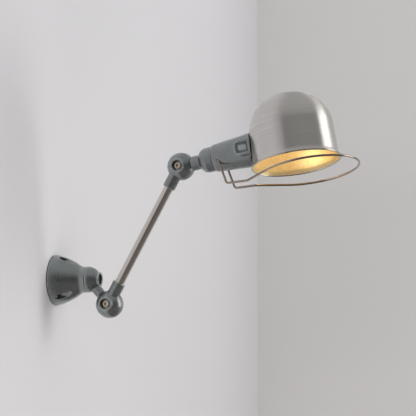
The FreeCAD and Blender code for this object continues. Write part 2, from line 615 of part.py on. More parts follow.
inside = [("0", "-1"), ("rim_radius - shade_wall", "-1")] + dome_outline("-shade_wall")
screw_seat = "shade_reach + shade_wall + screw_seat_clear - (%s)"
screw_spots = [("upper", "-shade_screw_circle", screw_seat % (
                    "crown_radius - dome_side_arc + sqrt(pow(dome_side_arc; 2)"
                    " - pow(shade_screw_circle + rim_drop - crown_height; 2))")),
               ("lower", "shade_screw_circle", screw_seat % (
                   "crown_radius + (skirt_radius - crown_radius)"
                   " * (crown_height - rim_drop + shade_screw_circle)"
                   " / (crown_height - skirt_start)"))]
keep(cut("shade", dome_solid("shade_outside", "0"), turned("shade_inside", shade, inside),
         lengthwise("lamp_hole", "lamp_hole_radius"),
         *[lengthwise("shade_hole_" + word, "shade_screw_radius + shade_hole_clear", x=height)
           for word, height, seat in screw_spots]))
saddle = turned("saddle_tube", head, [
    ("gasket_inner", "shade_reach - crown_radius * 1.4"),
    ("gasket_outer", "shade_reach - crown_radius * 1.4"),
    ("gasket_outer", "shade_reach - crown_radius * 0.7"),
    ("gasket_inner", "shade_reach - crown_radius * 0.7"),
])
saddle_band = doc.addObject("Part::Common", "saddle_band")
saddle_band.Base = saddle
saddle_band.Tool = dome_solid("saddle_reach", "shade_gasket")
keep(cut("shade_gasket", saddle_band, dome_solid("saddle_seat", "seat_fit"),
         *[lengthwise("gasket_hole_" + word, "shade_screw_radius + shade_hole_clear", x=height)
           for word, height, seat in screw_spots]))
shade_screws = []
for word, height, seat in screw_spots:
    shade_screws.append(join("shade_screw_" + word,
                             rod("shade_shaft_" + word, head, "shade_screw_radius",
                                 "shade_screw_length + 1", x=height,
                                 z=seat + " - shade_screw_length"),
                             rod("shade_head_" + word, head, "shade_screw_head",
                                 "shade_screw_head_height", x=height, z=seat)))
keep(group("shade_screws", *shade_screws))


# ---- housing ----
housing_shell = turned("housing_shell", head, [
    ("nipple_radius + clamp_clear", "housing_start"),
    ("housing_rear_radius - housing_corner", "housing_start", "housing_corner", 1),
    ("housing_rear_radius", "housing_rear"),
    ("housing_front_radius", "housing_front"),
    ("housing_front_radius - housing_wall", "housing_front"),
    ("ledge_radius", "ledge_height"),
    ("chamber_radius", "ledge_height"),
    ("chamber_radius", "housing_start + rear_wall"),
    ("nipple_radius + clamp_clear", "housing_start + rear_wall"),
])
tap_start = "%s - shade_screw_length - shade_tap_clear"
screw_bosses = [rod("shade_boss_" + word, head, "shade_boss_radius",
                    "housing_front - (%s) + shade_boss_floor" % (tap_start % seat),
                    x=height, z=tap_start % seat + " - shade_boss_floor")
                for word, height, seat in screw_spots]
pad_round = rod("pad_round", head, "pad_radius", "pad_height", z="housing_front - pad_back",
                axis="1;0;0", turn="90")
pad_square = block("pad_square", head, "2 * pad_radius", "pad_height", "pad_back",
                   x="-pad_radius", y="-pad_height", z="housing_front - pad_back")
pad_core = turned("pad_core", head, [
    ("0", "housing_rear"),
    ("housing_rear_radius - housing_wall / 2", "housing_rear"),
    ("housing_front_radius - housing_wall / 2", "housing_front"),
    ("0", "housing_front"),
])
switch_pad = cut("switch_pad", join("pad_blank", pad_round, pad_square), pad_core)
guard_lean = "atan(guard_slope)"
guard_bores = [rod("guard_bore_%d" % side, head, "wire_guard_radius + guard_fit",
                   "(guard_heel_drop - guard_top_drop) / cos(%s)" % guard_lean,
                   x="guard_top_drop - guard_end_clear", y="guard_half_width * %d" % side,
                   z="housing_start + guard_top_set - guard_end_clear * guard_slope",
                   axis="0;1;0", turn="90 deg - " + guard_lean)
               for side in (-1, 1)]
holder_holes = [rod("holder_hole_%d" % side, head, "holder_screw_radius + thread_clear",
                    "holder_screw_length + 1", y="holder_screw_circle * %d" % side,
                    z="ledge_height + holder_flange_thick - holder_screw_length")
                for side in (-1, 1)]
shade_taps = [rod("shade_tap_" + word, head, "shade_screw_radius + thread_clear",
                  "housing_front", x=height, z=tap_start % seat)
              for word, height, seat in screw_spots]
keep(cut("lamp_housing", join("housing_body", housing_shell, switch_pad, *screw_bosses),
         dome_solid("housing_saddle", "shade_gasket + seat_fit"),
         block("switch_recess", switch, "2 * recess_half_width", "recess_length", "pad_height",
               x="-recess_half_width", y="-recess_length / 2", z="0"),
         block("switch_window", switch, "2 * (switch_half_width + bezel_clear)",
               "switch_length + 2 * bezel_clear", "switch_depth + 1",
               x="-switch_half_width - bezel_clear", y="-switch_length / 2 - bezel_clear",
               z="-switch_depth"),
         *guard_bores, *holder_holes, *shade_taps))


# ---- lampholder and bulb ----
holder_blank = turned("holder_blank", head, [
    ("0", "ledge_height"),
    ("holder_flange", "ledge_height"),
    ("holder_flange", "ledge_height + holder_flange_thick"),
    ("holder_radius", "ledge_height + holder_flange_thick"),
    ("holder_radius", "holder_end"),
    ("holder_bore", "holder_end"),
    ("holder_bore", "holder_floor"),
    ("0", "holder_floor"),
])
keep(cut("lampholder", holder_blank, *[
    rod("flange_hole_%d" % side, head, "holder_screw_radius + thread_clear", "holder_screw_length",
        y="holder_screw_circle * %d" % side, z="ledge_height - 1") for side in (-1, 1)]))
keep(turned("lampholder_shell", head, [
    ("holder_bore - thread_clear - shell_wall", "holder_floor"),
    ("holder_bore - thread_clear", "holder_floor"),
    ("holder_bore - thread_clear", "holder_floor + shell_length"),
    ("holder_bore - thread_clear - shell_wall", "holder_floor + shell_length"),
]))
keep(rod("lampholder_contact", head, "contact_radius", "contact_height", z="holder_floor"))
keep(group("holder_screws", *[
    join("holder_screw_%d" % side,
         rod("holder_shaft_%d" % side, head, "holder_screw_radius", "holder_screw_length",
             y="holder_screw_circle * %d" % side,
             z="ledge_height + holder_flange_thick - holder_screw_length + 0.2"),
         rod("holder_head_%d" % side, head, "holder_screw_head", "holder_screw_head_height",
             y="holder_screw_circle * %d" % side, z="ledge_height + holder_flange_thick"))
    for side in (-1, 1)]))
keep(turned("bulb_cap", head, [
    ("0", "bulb_cap_start"),
    ("bulb_pip_radius", "bulb_cap_start"),
    ("bulb_cap_radius", "bulb_cap_start + bulb_pip_height"),
    ("bulb_cap_radius", "bulb_cap_end"),
    ("bulb_stem_radius + glass_clear", "bulb_cap_end"),
    ("bulb_stem_radius + glass_clear", "bulb_cap_end - bulb_stem_depth - glass_clear"),
    ("0", "bulb_cap_end - bulb_stem_depth - glass_clear"),
]))
keep(turned("bulb_glass", head, [
    ("0", "bulb_cap_end - bulb_stem_depth"),
    ("bulb_stem_radius", "bulb_cap_end - bulb_stem_depth"),
    ("bulb_stem_radius", "bulb_cap_end + bulb_stem_rise"),
    ("bulb_shoulder_radius", "bulb_cap_end + bulb_shoulder", "bulb_belly_arc", 1),
    ("bulb_belly_radius", "bulb_cap_end + bulb_belly", "bulb_taper_arc", 1),
    ("bulb_tip_radius", "bulb_cap_end + bulb_tip", "bulb_tip_arc", 1),
    ("0", "bulb_cap_end + bulb_tip + bulb_tip_arc"
     " - sqrt(pow(bulb_tip_arc; 2) - pow(bulb_tip_radius; 2))"),
]))


# ---- switch ----
rocker_pocket = block("rocker_pocket", switch, "2 * (rocker_half_width + rocker_clear / 2)",
                      "rocker_length + 2 * rocker_clear", "switch_depth + bezel_thick",
                      x="-rocker_half_width - rocker_clear / 2",
                      y="-rocker_length / 2 - rocker_clear", z="-rocker_root - rocker_clear - 1")
pivot_hole = rod("pivot_hole", switch, "pivot_radius + pivot_clear",
                 "2 * (rocker_half_width + pivot_reach + pivot_clear)",
                 x="-rocker_half_width - pivot_reach - pivot_clear", axis="0;1;0", turn="90")
keep(cut("switch_body",
         join("switch_blank",
              block("switch_bezel", switch, "2 * (recess_half_width - bezel_clear)",
                    "recess_length - 2 * bezel_clear", "bezel_thick",
                    x="-recess_half_width + bezel_clear", y="-recess_length / 2 + bezel_clear",
                    z="bezel_clear"),
              block("switch_box", switch, "2 * switch_half_width", "switch_length",
                    "switch_depth + bezel_clear", x="-switch_half_width", y="-switch_length / 2",
                    z="-switch_depth")),
         rocker_pocket, pivot_hole))
rocker_frame = frame("RockerFrame", spot(switch, axis="1;0;0", turn="-rocker_tilt"))
rocker_blank = doc.addObject("PartDesign::Body", "rocker_blank")
rocker_sketch = outline_sketch(rocker_blank, "YZ_Plane", [
    ("-rocker_length / 2 + 1", "-rocker_root"),
    ("rocker_length / 2 - 1", "-rocker_root"),
    ("rocker_length / 2", "rocker_height"),
    ("-rocker_length / 2", "rocker_height"),
])
rocker_pad = rocker_blank.newObject("PartDesign::Pad", "rocker_pad")
rocker_pad.Profile = rocker_sketch
rocker_pad.Midplane = True
bind(rocker_pad, Length="2 * rocker_half_width")
rocker_blank.setExpression("Placement", rocker_frame.Name + ".Placement")
rocker_barrel = doc.addObject("Part::Common", "rocker_barrel")
rocker_barrel.Base = rocker_blank
rocker_barrel.Tool = rod("rocker_round", rocker_frame, "rocker_crown", "rocker_length + 2",
                         y="rocker_length / 2 + 1", z="rocker_height - rocker_crown",
                         axis="1;0;0", turn="90")
keep(join("switch_rocker", rocker_barrel,
          rod("rocker_pivot", rocker_frame, "pivot_radius", "2 * (rocker_half_width + pivot_reach)",
              x="-rocker_half_width - pivot_reach", axis="0;1;0", turn="90")))


# ---- guard: one wire, bent at four corners and closed in front by most of a circle ----
def bent_path(corners, radius):
    """Edges along a line of corners, each inner corner rounded to a bend radius."""
    edges = []
    last = corners[0]
    for before, corner, after in zip(corners, corners[1:], corners[2:]):
        arriving = (corner - before).normalize()
        leaving = (after - corner).normalize()
        half = arriving.getAngle(leaving) / 2
        back = radius * math.tan(half)
        first = corner - arriving * back
        end = corner + leaving * back
        inward = (leaving - arriving).normalize()
        middle = corner + inward * (radius / math.cos(half) - radius)
        edges.append(Part.LineSegment(last, first).toShape())
        edges.append(Part.Arc(first, middle, end).toShape())
        last = end
    edges.append(Part.LineSegment(last, corners[-1]).toShape())
    return edges


def guard_shape():
    """The wire's solid in the head's frame."""
    ring = value("guard_ring_radius")
    centre = FreeCAD.Vector(value("guard_drop"), 0, value("shade_reach + guard_lead"))
    back = value("shade_set + guard_lead + guard_bend_back")
    side = value("guard_half_width")
    spread = math.acos(ring / math.hypot(back, side)) + math.atan2(side, back)
    tangents = [centre + FreeCAD.Vector(0, way * ring * math.sin(spread), -ring * math.cos(spread))
                for way in (-1, 1)]
    heel = value("housing_start + guard_heel_set")
    top = value("housing_start + guard_top_set")
    bend_reach = value("housing_front - guard_bend_back")
    legs = []
    for way, tangent in zip((-1, 1), tangents):
        legs.append([FreeCAD.Vector(value("guard_top_drop"), way * side, top),
                     FreeCAD.Vector(value("guard_heel_drop"), way * side, heel),
                     FreeCAD.Vector(value("guard_bend_drop"), way * side, bend_reach),
                     tangent])
    bend = value("guard_bend")
    front = centre + FreeCAD.Vector(0, 0, ring)
    edges = bent_path(legs[0], bend)
    edges.append(Part.Arc(tangents[0], front, tangents[1]).toShape())
    edges.extend(bent_path(legs[1][::-1], bend))
    path = Part.Wire(edges)
    start = legs[0][0]
    section = Part.Circle(start, legs[0][1] - start, value("wire_guard_radius"))
    return path.makePipeShell([Part.Wire([section.toShape()])], True, False)


guard = doc.addObject("Part::Feature", "guard_wire")
guard.Shape = guard_shape()
guard.setExpression("Placement", head.Name + ".Placement")
keep(guard)

doc.recompute()

# ---- check and write ----
for item in doc.Objects:
    if "Invalid" in item.State or "Error" in item.State:
        raise RuntimeError("%s did not compute: %s" % (item.Name, item.State))
os.makedirs("parts", exist_ok=True)
for item in pieces:
    item.Label = item.Name
    shape = item.Shape
    if shape.isNull() or not shape.isValid() or not shape.Solids:
        raise RuntimeError("%s has no sound solid" % item.Label)
    shape.exportStep("parts/%s.step" % item.Label)
    print("%-26s solids %d  volume %10.1f" % (item.Label, len(shape.Solids), shape.Volume))
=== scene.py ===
import json
import math

import bmesh
import bpy
from mathutils import Matrix, Vector


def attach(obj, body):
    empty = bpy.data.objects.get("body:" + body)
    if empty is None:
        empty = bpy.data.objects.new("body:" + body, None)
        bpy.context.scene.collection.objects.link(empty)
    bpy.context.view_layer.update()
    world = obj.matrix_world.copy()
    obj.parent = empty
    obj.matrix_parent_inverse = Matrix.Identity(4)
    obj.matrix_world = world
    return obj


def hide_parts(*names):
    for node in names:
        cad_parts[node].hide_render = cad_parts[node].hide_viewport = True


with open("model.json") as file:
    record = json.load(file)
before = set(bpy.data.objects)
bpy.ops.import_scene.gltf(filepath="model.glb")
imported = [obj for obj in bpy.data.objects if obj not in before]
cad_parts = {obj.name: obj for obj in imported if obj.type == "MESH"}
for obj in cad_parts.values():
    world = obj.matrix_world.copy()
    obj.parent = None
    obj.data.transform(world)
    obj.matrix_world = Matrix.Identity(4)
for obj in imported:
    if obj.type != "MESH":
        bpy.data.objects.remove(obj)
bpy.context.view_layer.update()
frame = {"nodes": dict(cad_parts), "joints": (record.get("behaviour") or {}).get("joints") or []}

# ---- Camera ----
# The photograph's own viewpoint: a long lens some 3.5 m away, a little below the wall base and
# looking slightly up, with the lamp's wall running away on the left.
eye = bpy.data.cameras.new("photo_camera")
eye.lens = 190.4
eye.sensor_width = 36
eye.clip_end = 100
camera = bpy.data.objects.new("photo_camera", eye)
camera.location = (1.4006, -3.2886, -0.1906)
camera.rotation_euler = (math.radians(94.94), 0, math.radians(19.11))
bpy.context.scene.collection.objects.link(camera)
bpy.context.scene.camera = camera
bpy.context.scene.view_settings.view_transform = "Standard"

# ---- Room ----
# Two plaster walls that meet in a corner behind the lamp, and a grey floor, each under matt
# emulsion put on with a roller. A wall seen from behind lets the eye through.


def srgb(code):
    """A linear colour from an sRGB hex value."""
    parts = [int(code[i:i + 2], 16) / 255 for i in (1, 3, 5)]
    return tuple(p / 12.92 if p <= 0.04045 else ((p + 0.055) / 1.055) ** 2.4 for p in parts) + (1,)


def add(tree, kind, inputs=(), **settings):
    """Add a shader or geometry node with its settings, and values or links for its inputs."""
    made = tree.nodes.new(kind)
    for name, setting in settings.items():
        setattr(made, name, setting)
    for name, given in dict(inputs).items():
        if isinstance(given, bpy.types.NodeSocket):
            tree.links.new(given, made.inputs[name])
        else:
            made.inputs[name].default_value = given
    return made


def material(name):
    """A new node material, with its tree emptied down to the output node."""
    made = bpy.data.materials.new(name)
    made.use_nodes = True
    made.node_tree.nodes.clear()
    out = made.node_tree.nodes.new("ShaderNodeOutputMaterial")
    return made, made.node_tree, out


def plaster(name, colour):
    """Emulsion paint on plaster, open from behind."""
    made, tree, out = material(name)
    where = add(tree, "ShaderNodeTexCoord").outputs["Object"]
    # roller stipple of about 2 mm, drawn as soft 12 mm mottling so that it shows at all
    stipple = add(tree, "ShaderNodeTexNoise", {"Vector": where, "Scale": 80, "Detail": 3})
    bump = add(tree, "ShaderNodeBump", {"Height": stipple.outputs["Fac"], "Strength": 0.05,
                                        "Distance": 0.001})
    paint = add(tree, "ShaderNodeBsdfPrincipled", {
        "Base Color": srgb(colour), "Roughness": 0.85, "Normal": bump.outputs["Normal"]})
    side = add(tree, "ShaderNodeNewGeometry").outputs["Backfacing"]
    clear = add(tree, "ShaderNodeBsdfTransparent")
    mix = add(tree, "ShaderNodeMixShader", {"Fac": side})
    tree.links.new(paint.outputs[0], mix.inputs[1])
    tree.links.new(clear.outputs[0], mix.inputs[2])
    tree.links.new(mix.outputs[0], out.inputs["Surface"])
    return made


def panel(name, corners, finish):
    """A flat stage panel from its corners, in order, facing the room."""
    mesh = bpy.data.meshes.new(name)
    mesh.from_pydata(corners, [], [range(len(corners))])
    mesh.materials.append(finish)
    made = bpy.data.objects.new(name, mesh)
    bpy.context.scene.collection.objects.link(made)


# in metres from the middle of the wall base: heights, then the ends of the lamp's wall along it,
# where the side wall stops for the window, and how far the floor goes
FLOOR, CEILING = -1.1, 1.7
CORNER, DOORWAY = 1.071, -2.5
WINDOW_SIDE = 1.5
ROOM_X, ROOM_Y = 5.0, -6.0
wall_paint = plaster("lamp_wall_emulsion", "#dddce0")
panel("lamp_wall", [(0, DOORWAY, FLOOR), (0, CORNER, FLOOR), (0, CORNER, CEILING),
                    (0, DOORWAY, CEILING)], wall_paint)
side_paint = plaster("side_wall_emulsion", "#dcdbda")
panel("side_wall", [(0, CORNER, FLOOR), (WINDOW_SIDE, CORNER, FLOOR),
                    (WINDOW_SIDE, CORNER, CEILING), (0, CORNER, CEILING)], side_paint)
floor_paint = plaster("grey_floor", "#75716d")
panel("floor", [(0, ROOM_Y, FLOOR), (ROOM_X, ROOM_Y, FLOOR), (ROOM_X, CORNER, FLOOR),
                (0, CORNER, FLOOR)], floor_paint)

# ---- Light ----
# Daylight from a tall window on the right. Weaker glows stand for what the floor, the ceiling
# and the camera's side of the room send back. The room is dim low down and paler above, which
# leaves the dark band down the middle of the shade.


def soft_light(name, place, target, width, height, watts, colour, mirrored=False):
    """A rectangular light that looks at a target, seen or not in polished metal."""
    data = bpy.data.lights.new(name, "AREA")
    data.shape = "RECTANGLE"
    data.size = width
    data.size_y = height
    data.energy = watts
    data.color = srgb(colour)[:3]
    made = bpy.data.objects.new(name, data)
    made.location = place
    made.rotation_euler = (Vector(target) - Vector(place)).to_track_quat("-Z", "Y").to_euler()
    made.visible_glossy = mirrored
    bpy.context.scene.collection.objects.link(made)


soft_light("window_right", place=(2.66, 1.21, 0.45), target=(0.0, 0.0, 0.1), width=1.45,
           height=2.6, watts=27, colour="#fffffb", mirrored=True)
# the same window's light scattered on its panes, too faint to show in the metal
soft_light("window_haze", place=(2.73, 1.04, 0.45), target=(0.0, 0.0, 0.1), width=0.5,
           height=1.8, watts=15, colour="#fffffb")
soft_light("floor_glow", place=(1.0, -0.3, -1.06), target=(0.2, 0.8, 0.0), width=1.6,
           height=1.6, watts=13, colour="#f8f5f3")
soft_light("ceiling_glow", place=(1.2, 0.2, 1.68), target=(1.1, 0.15, 0.0), width=2.0,
           height=1.4, watts=10, colour="#f9fbff")
soft_light("front_fill", place=(0.8, -4.6, 0.7), target=(0.6, 1.0, 0.0), width=2.0,
           height=1.6, watts=62, colour="#fffdfa")

sky = bpy.data.worlds.new("dim_room")
sky.use_nodes = True
sky_tree = sky.node_tree
sky_tree.nodes.clear()
heading = add(sky_tree, "ShaderNodeSeparateXYZ", {
    "Vector": add(sky_tree, "ShaderNodeTexCoord").outputs["Generated"]})
# dim up to about 10 degrees above level, then brighter up to 50 degrees, where the ceiling is
paler = add(sky_tree, "ShaderNodeMapRange", {"Value": heading.outputs["Z"], "From Min": 0.15,
                                             "From Max": 0.75, "To Min": 0.14, "To Max": 1.0})
lit = add(sky_tree, "ShaderNodeBackground", {"Color": srgb("#b9b8b6"),
                                             "Strength": paler.outputs["Result"]})
seen = add(sky_tree, "ShaderNodeBackground", {"Color": srgb("#d3d1d0"), "Strength": 1})
choice = add(sky_tree, "ShaderNodeMixShader", {
    "Fac": add(sky_tree, "ShaderNodeLightPath").outputs["Is Camera Ray"]})
sky_tree.links.new(lit.outputs[0], choice.inputs[1])
sky_tree.links.new(seen.outputs[0], choice.inputs[2])
add(sky_tree, "ShaderNodeOutputWorld", {"Surface": choice.outputs[0]})
bpy.context.scene.world = sky

# ---- Painted castings ----
# The base bell, the knuckle halves, the rear cap and the lamp housing are die-cast metal under
# a satin blue-grey metallic enamel, sprayed and baked. It rounds their edges and is a touch
# thinner there. The edges are painted lighter, partly for that wear and partly as a painted
# highlight. Each is a copy of its solid with the edges softened the same way.


def enamel():
    """Sprayed enamel, its edges painted lighter for wear and as a highlight."""
    made, tree, out = material("satin_grey_enamel")
    where = add(tree, "ShaderNodeTexCoord").outputs["Object"]
    # the spray's clouding, some 20 mm from patch to patch
    cloud = add(tree, "ShaderNodeTexNoise", {"Vector": where, "Scale": 45, "Detail": 4})
    body = add(tree, "ShaderNodeMix", {"Factor": cloud.outputs["Fac"], "A": srgb("#828889"),
                                       "B": srgb("#969b9c")}, data_type="RGBA")
    # pointiness is 0.5 where the surface is flat and more over an edge
    edge = add(tree, "ShaderNodeMapRange", {
        "Value": add(tree, "ShaderNodeNewGeometry").outputs["Pointiness"],
        "From Min": 0.504, "From Max": 0.54, "To Max": 0.6})
    # edges painted lighter: partly wear where the enamel is thin, partly painted highlight
    edge_wear_and_highlight = add(tree, "ShaderNodeMix", {"Factor": edge.outputs["Result"],
                                       "A": body.outputs["Result"], "B": srgb("#d2d5d5")},
               data_type="RGBA")
    # orange peel, 1.2 mm from crest to crest
    peel = add(tree, "ShaderNodeTexNoise", {"Vector": where, "Scale": 830, "Detail": 2})
    bump = add(tree, "ShaderNodeBump", {"Height": peel.outputs["Fac"], "Strength": 0.12,
                                        "Distance": 0.0002})
    gloss = add(tree, "ShaderNodeMapRange", {"Value": cloud.outputs["Fac"], "To Min": 0.22,
                                             "To Max": 0.34})
    paint = add(tree, "ShaderNodeBsdfPrincipled", {
        "Base Color": edge_wear_and_highlight.outputs["Result"], "Roughness": gloss.outputs["Result"],
        "Metallic": 0.88, "IOR": 1.52, "Coat Weight": 0.3, "Coat Roughness": 0.12,
        "Normal": bump.outputs["Normal"]})
    tree.links.new(paint.outputs[0], out.inputs["Surface"])
    return made


def keep_mesh(piece, body, slot, *replaced):
    """Bake a piece's modifiers into its mesh and hand it to its body."""
    graph = bpy.context.evaluated_depsgraph_get()
    baked = bpy.data.meshes.new_from_object(piece.evaluated_get(graph), depsgraph=graph)
    piece.modifiers.clear()
    piece.data = baked
    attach(piece, body)
    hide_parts(*replaced)


def casting(node, body, grain, finish):
    """A solid's copy, remeshed at a grain in metres and smoothed so that its edges soften."""
    mesh = nodes[node].data.copy()
    soft = bmesh.new()
    soft.from_mesh(mesh)
    bmesh.ops.remove_doubles(soft, verts=soft.verts, dist=1e-6)
    soft.to_mesh(mesh)
    soft.free()
    mesh.materials.clear()
    mesh.materials.append(finish)
    piece = bpy.data.objects.new(node + "_cast", mesh)
    bpy.context.scene.collection.objects.link(piece)
    voxels = piece.modifiers.new("voxels", "REMESH")
    voxels.mode = "VOXEL"
    voxels.voxel_size = grain
    voxels.use_smooth_shade = True
    ease = piece.modifiers.new("ease", "SMOOTH")
    ease.factor = 0.5
    ease.iterations = 5
    keep_mesh(piece, body, "painted_casting", node)


nodes = frame["nodes"]
grey = enamel()
for cast, body, grain in (("wall_bell", "wall_base", 0.0007), ("link_casting", "link", 0.0006),
                          ("lower_socket", "arm", 0.00055), ("upper_socket", "arm", 0.00055),
                          ("rear_cap", "neck", 0.0006), ("lamp_housing", "head", 0.0007)):
    casting(cast, body, grain, grey)

# ---- Screws, nuts, plates and contacts ----
# Turned, pressed and rolled metal parts, screwed or riveted together: zinc-plated steel for the
# wall screws, back plate, nuts and washers, nickelled steel for the clamp screws, plain brass for
# the contacts and the lampholder's shell, and nickelled brass for the bulb's cap.


def dress(finish, *names):
    """Give CAD nodes a finish of their own."""
    for name in names:
        for place in nodes[name].material_slots:
            place.material = finish


def plated(name, low, high, rough, grain):
    """Plated or rolled metal, from a lower to a higher colour and roughness, mottled at a grain
    in metres."""
    made, tree, out = material(name)
    where = add(tree, "ShaderNodeTexCoord").outputs["Object"]
    fleck = add(tree, "ShaderNodeTexNoise", {"Vector": where, "Scale": 1 / grain, "Detail": 5})
    tint = add(tree, "ShaderNodeMix", {"Factor": fleck.outputs["Fac"], "A": srgb(low),
                                       "B": srgb(high)}, data_type="RGBA")
    gloss = add(tree, "ShaderNodeMapRange", {"Value": fleck.outputs["Fac"],
                                             "To Min": rough[0], "To Max": rough[1]})
    bump = add(tree, "ShaderNodeBump", {"Height": fleck.outputs["Fac"], "Strength": 0.08,
                                        "Distance": 0.0001})
    metal = add(tree, "ShaderNodeBsdfPrincipled", {
        "Base Color": tint.outputs["Result"], "Metallic": 1, "Roughness": gloss.outputs["Result"],
        "Normal": bump.outputs["Normal"]})
    tree.links.new(metal.outputs[0], out.inputs["Surface"])
    return made


dress(plated("clear_zinc_plate", "#9a978f", "#b2afa6", rough=(0.24, 0.40), grain=0.0015),
      "wall_screws", "earth_screw", "back_plate", "shade_screws", "holder_screws", "roll_nipple",
      "roll_washer", "roll_nut", "spring_washer_base", "spring_washer_lower",
      "spring_washer_upper", "clamp_nut_base", "clamp_nut_lower", "clamp_nut_upper")
dress(plated("nickelled_cap_screw_steel", "#b3a493", "#cdbfae", rough=(0.18, 0.32), grain=0.0012),
      "clamp_screw_base", "clamp_screw_lower", "clamp_screw_upper")
dress(plated("turned_brass", "#b0873f", "#cda65c", rough=(0.22, 0.38), grain=0.001),
      "contact_tracks_base", "contact_tracks_lower", "contact_tracks_upper",
      "contact_brushes_base", "contact_brushes_lower", "contact_brushes_upper",
      "lampholder_shell", "lampholder_contact")
dress(plated("nickel_bulb_cap", "#a9a59c", "#c4c0b7", rough=(0.25, 0.4), grain=0.001), "bulb_cap")

# ---- Rubber, plastics and wires ----
# Moulded or extruded parts, glued, clipped or screwed in: rubber gaskets, the terminal block, the
# contact discs and brush carriers, the wires' jackets, the lampholder and the switch. They have
# a fine mould texture and no seam that shows.


def moulded(name, low, high, rough, grain):
    """Moulded plastic or rubber with a fine surface grain in metres."""
    made, tree, out = material(name)
    where = add(tree, "ShaderNodeTexCoord").outputs["Object"]
    speck = add(tree, "ShaderNodeTexNoise", {"Vector": where, "Scale": 1 / grain, "Detail": 3})
    tint = add(tree, "ShaderNodeMix", {"Factor": speck.outputs["Fac"], "A": srgb(low),
                                       "B": srgb(high)}, data_type="RGBA")
    bump = add(tree, "ShaderNodeBump", {"Height": speck.outputs["Fac"], "Strength": 0.15,
                                        "Distance": 0.0001})
    resin = add(tree, "ShaderNodeBsdfPrincipled", {
        "Base Color": tint.outputs["Result"], "Roughness": rough, "IOR": 1.5,
        "Normal": bump.outputs["Normal"]})
    tree.links.new(resin.outputs[0], out.inputs["Surface"])
    return made


dress(moulded("black_gasket_rubber", "#0f0f10", "#1b1b1c", rough=0.7, grain=0.0008),
      "wall_gasket", "shade_gasket")
dress(moulded("white_nylon", "#d8d5cd", "#e4e1da", rough=0.45, grain=0.001), "terminal_block")
dress(moulded("brown_phenolic", "#2a211b", "#3a2e26", rough=0.4, grain=0.001),
      "contact_disc_base", "contact_disc_lower", "contact_disc_upper", "brush_carrier_base",
      "brush_carrier_lower", "brush_carrier_upper")
dress(moulded("red_brown_wire_jacket", "#5b2418", "#6d3022", rough=0.5, grain=0.001),
      "base_wires", "link_wires", "arm_wires", "neck_wires")
dress(moulded("black_heatproof_resin", "#141415", "#1f1f20", rough=0.5, grain=0.0009),
      "lampholder")
dress(moulded("grey_switch_resin", "#5d6365", "#6b7173", rough=0.35, grain=0.0009),
      "switch_body")
dress(moulded("pale_grey_rocker_resin", "#8b9192", "#9ba1a2", rough=0.25, grain=0.0009),
      "switch_rocker")

# ---- Arm tube ----
# A 15 mm stainless tube, pressed into the two sockets. It was polished along its length on a
# belt, so its scratches run lengthwise.


def polished_tube(along):
    """Stainless steel with scratches along a direction in the lamp's plane."""
    made, tree, out = material("belt_polished_stainless")
    where = add(tree, "ShaderNodeTexCoord").outputs["Object"]
    # belt scratches about 0.1 mm wide and 30 mm long, drawn 0.5 mm wide so that they show
    lean = math.atan2(along.x, along.z)
    turned = add(tree, "ShaderNodeMapping", {"Vector": where, "Rotation": (0, -lean, 0)})
    stretched = add(tree, "ShaderNodeMapping", {"Vector": turned.outputs["Vector"],
                                                "Scale": (2000, 2000, 30)})
    scratch = add(tree, "ShaderNodeTexNoise", {"Vector": stretched.outputs["Vector"],
                                               "Scale": 1, "Detail": 3})
    tint = add(tree, "ShaderNodeMix", {"Factor": scratch.outputs["Fac"], "A": srgb("#cbc5c0"),
                                       "B": srgb("#e2ddd9")}, data_type="RGBA")
    rough = add(tree, "ShaderNodeMapRange", {"Value": scratch.outputs["Fac"],
                                             "To Min": 0.12, "To Max": 0.24})
    bump = add(tree, "ShaderNodeBump", {"Height": scratch.outputs["Fac"], "Strength": 0.06,
                                        "Distance": 0.00003})
    steel = add(tree, "ShaderNodeBsdfPrincipled", {
        "Base Color": tint.outputs["Result"], "Metallic": 1, "Roughness": rough.outputs["Result"],
        "Normal": bump.outputs["Normal"]})
    tree.links.new(steel.outputs[0], out.inputs["Surface"])
    return made


joints = {joint["name"]: joint for joint in frame["joints"]}
knee = Vector(joints["upper_knuckle"]["pos_m"])
ankle = Vector(joints["lower_knuckle"]["pos_m"])
dress(polished_tube((knee - ankle).normalized()), "arm_tube")

# ---- Shade ----
# One dome spun from 1 mm stainless sheet, its rim flared and rolled, brushed on the lathe so
# that the scratches ring it. Two screws hold it on the housing, and the bulb enters through a
# hole in its side.

# the middle of the rim, below the head's axis and along it from the upper knuckle
RIM_DROP, RIM_REACH = 0.0384, 0.1898
head_axis = Vector(joints["head_roll"]["axis"]).normalized()
head_down = Vector(joints["switch_rock"]["axis"]).normalized()
head_side = head_axis.cross(head_down)
head_turn = Matrix((head_axis, head_side, -head_down)).transposed()
shade_place = Matrix.Translation(knee + head_axis * RIM_REACH + head_down * RIM_DROP) \
    @ head_turn.to_4x4()


